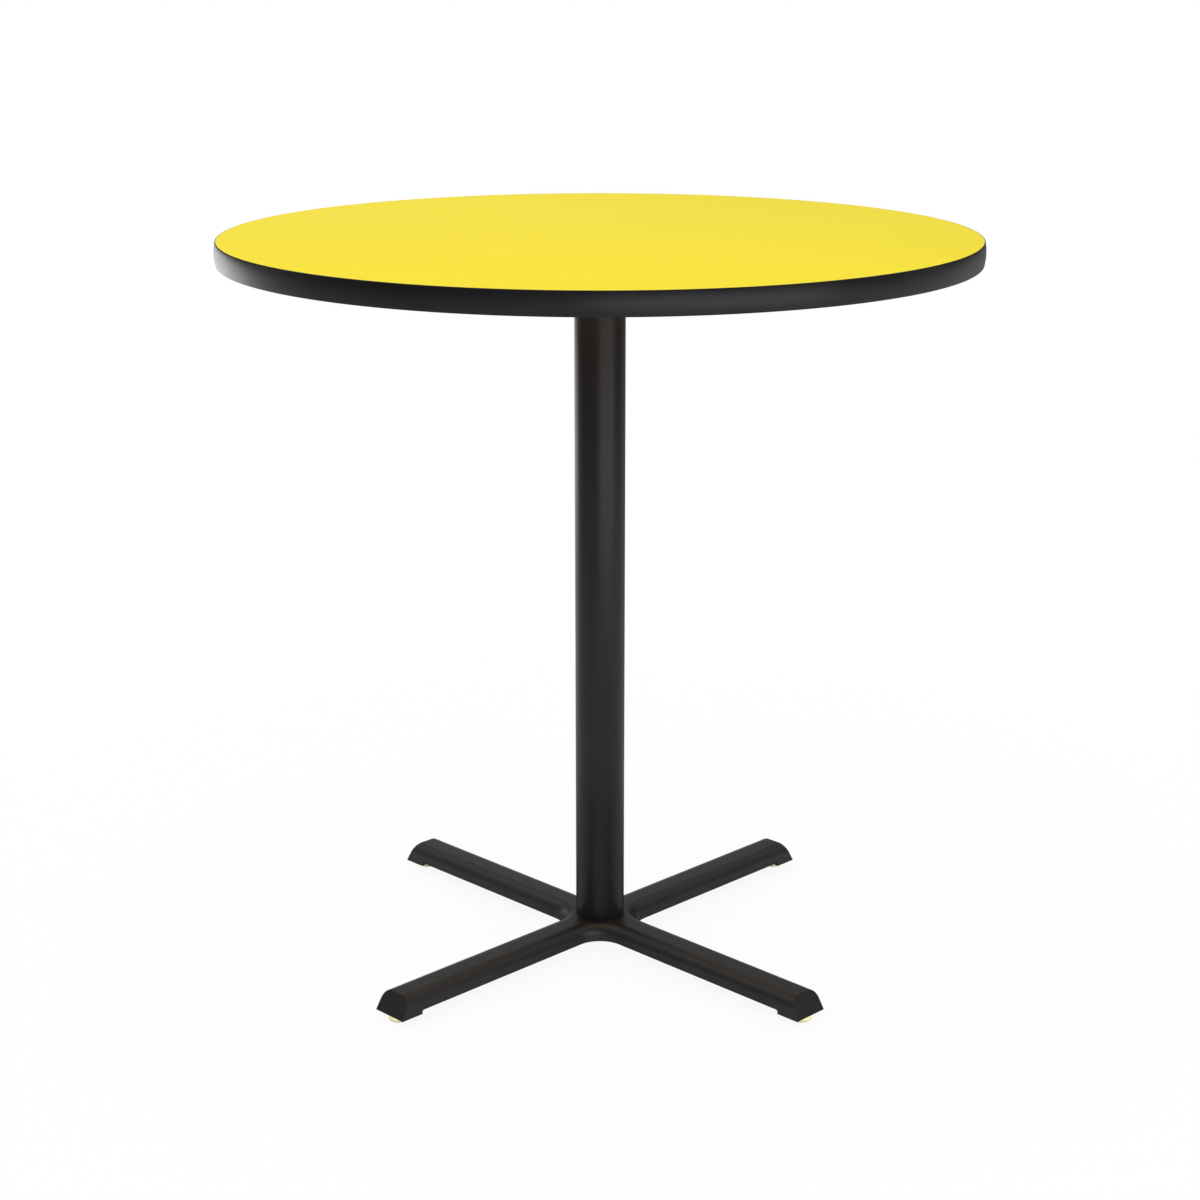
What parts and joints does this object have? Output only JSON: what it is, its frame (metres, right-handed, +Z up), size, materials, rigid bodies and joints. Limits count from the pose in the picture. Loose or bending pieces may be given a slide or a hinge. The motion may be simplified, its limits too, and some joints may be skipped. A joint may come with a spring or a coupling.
{
  "type": "bar-height pedestal table",
  "caption": "Round bar-height pedestal table: a laminate top with a dark moulded edge band on a tubular column and a cast cross base with screw-in levelling glides.",
  "frame": {"origin": "on the floor, on the column's axis, under the centre of the top", "axes": "+Z up; the picture is taken from -Y, looking along +Y, with +X to the right; the base's arms lie on the diagonals"},
  "size_m": [1.0668, 1.0668, 1.0683],
  "materials": {
    "laminate": "matte high-pressure laminate, lemon yellow",
    "particleboard": "bare particleboard",
    "backer": "pale tan kraft backer sheet",
    "vinyl_edge": "satin black vinyl",
    "painted_casting": "fine-textured satin black powder coat",
    "painted_tube": "satin black powder coat",
    "plated_steel": "bright zinc plate",
    "glide_nylon": "natural nylon, yellowed"
  },
  "bodies": {
    "table": {"laminate_sheet": "laminate", "core_disc": "particleboard", "backer_sheet": "backer", "edge_band": "vinyl_edge", "spider": "painted_casting", "spider_screws": "plated_steel", "column_tube": "painted_tube", "tie_rod": "plated_steel", "upper_washer": "plated_steel", "upper_lock_washer": "plated_steel", "upper_nut": "plated_steel", "lower_washer": "plated_steel", "lower_lock_washer": "plated_steel", "lower_nut": "plated_steel", "base_casting": "painted_casting"},
    "glide_pad_back_right": {"glide_pad_back_right": "glide_nylon"},
    "glide_stem_back_right": {"glide_stem_back_right": "plated_steel"},
    "glide_pad_back_left": {"glide_pad_back_left": "glide_nylon"},
    "glide_stem_back_left": {"glide_stem_back_left": "plated_steel"},
    "glide_pad_front_left": {"glide_pad_front_left": "glide_nylon"},
    "glide_stem_front_left": {"glide_stem_front_left": "plated_steel"},
    "glide_pad_front_right": {"glide_pad_front_right": "glide_nylon"},
    "glide_stem_front_right": {"glide_stem_front_right": "plated_steel"}
  },
  "joints": [
    {"name": "glide_travel_back_right", "type": "slide", "parent": "table", "child": "glide_pad_back_right", "axis": [0, 0, -1], "range_m": [0, 0.01]},
    {"name": "glide_turn_back_right", "type": "hinge", "parent": "glide_pad_back_right", "child": "glide_stem_back_right", "pos_m": [0.28602, 0.28602, 0.0075], "axis": [0, 0, -1], "range_deg": [-360, 3240]},
    {"name": "glide_travel_back_left", "type": "slide", "parent": "table", "child": "glide_pad_back_left", "axis": [0, 0, -1], "range_m": [0, 0.01]},
    {"name": "glide_turn_back_left", "type": "hinge", "parent": "glide_pad_back_left", "child": "glide_stem_back_left", "pos_m": [-0.28602, 0.28602, 0.0075], "axis": [0, 0, -1], "range_deg": [-360, 3240]},
    {"name": "glide_travel_front_left", "type": "slide", "parent": "table", "child": "glide_pad_front_left", "axis": [0, 0, -1], "range_m": [0, 0.01]},
    {"name": "glide_turn_front_left", "type": "hinge", "parent": "glide_pad_front_left", "child": "glide_stem_front_left", "pos_m": [-0.28602, -0.28602, 0.0075], "axis": [0, 0, -1], "range_deg": [-360, 3240]},
    {"name": "glide_travel_front_right", "type": "slide", "parent": "table", "child": "glide_pad_front_right", "axis": [0, 0, -1], "range_m": [0, 0.01]},
    {"name": "glide_turn_front_right", "type": "hinge", "parent": "glide_pad_front_right", "child": "glide_stem_front_right", "pos_m": [0.28602, -0.28602, 0.0075], "axis": [0, 0, -1], "range_deg": [-360, 3240]}
  ],
  "couplings": [
    {"joint": "glide_turn_back_right", "follows": "glide_travel_back_right", "rad_per_m": 5026.5},
    {"joint": "glide_turn_back_left", "follows": "glide_travel_back_left", "rad_per_m": 5026.5},
    {"joint": "glide_turn_front_left", "follows": "glide_travel_front_left", "rad_per_m": 5026.5},
    {"joint": "glide_turn_front_right", "follows": "glide_travel_front_right", "rad_per_m": 5026.5}
  ]
}
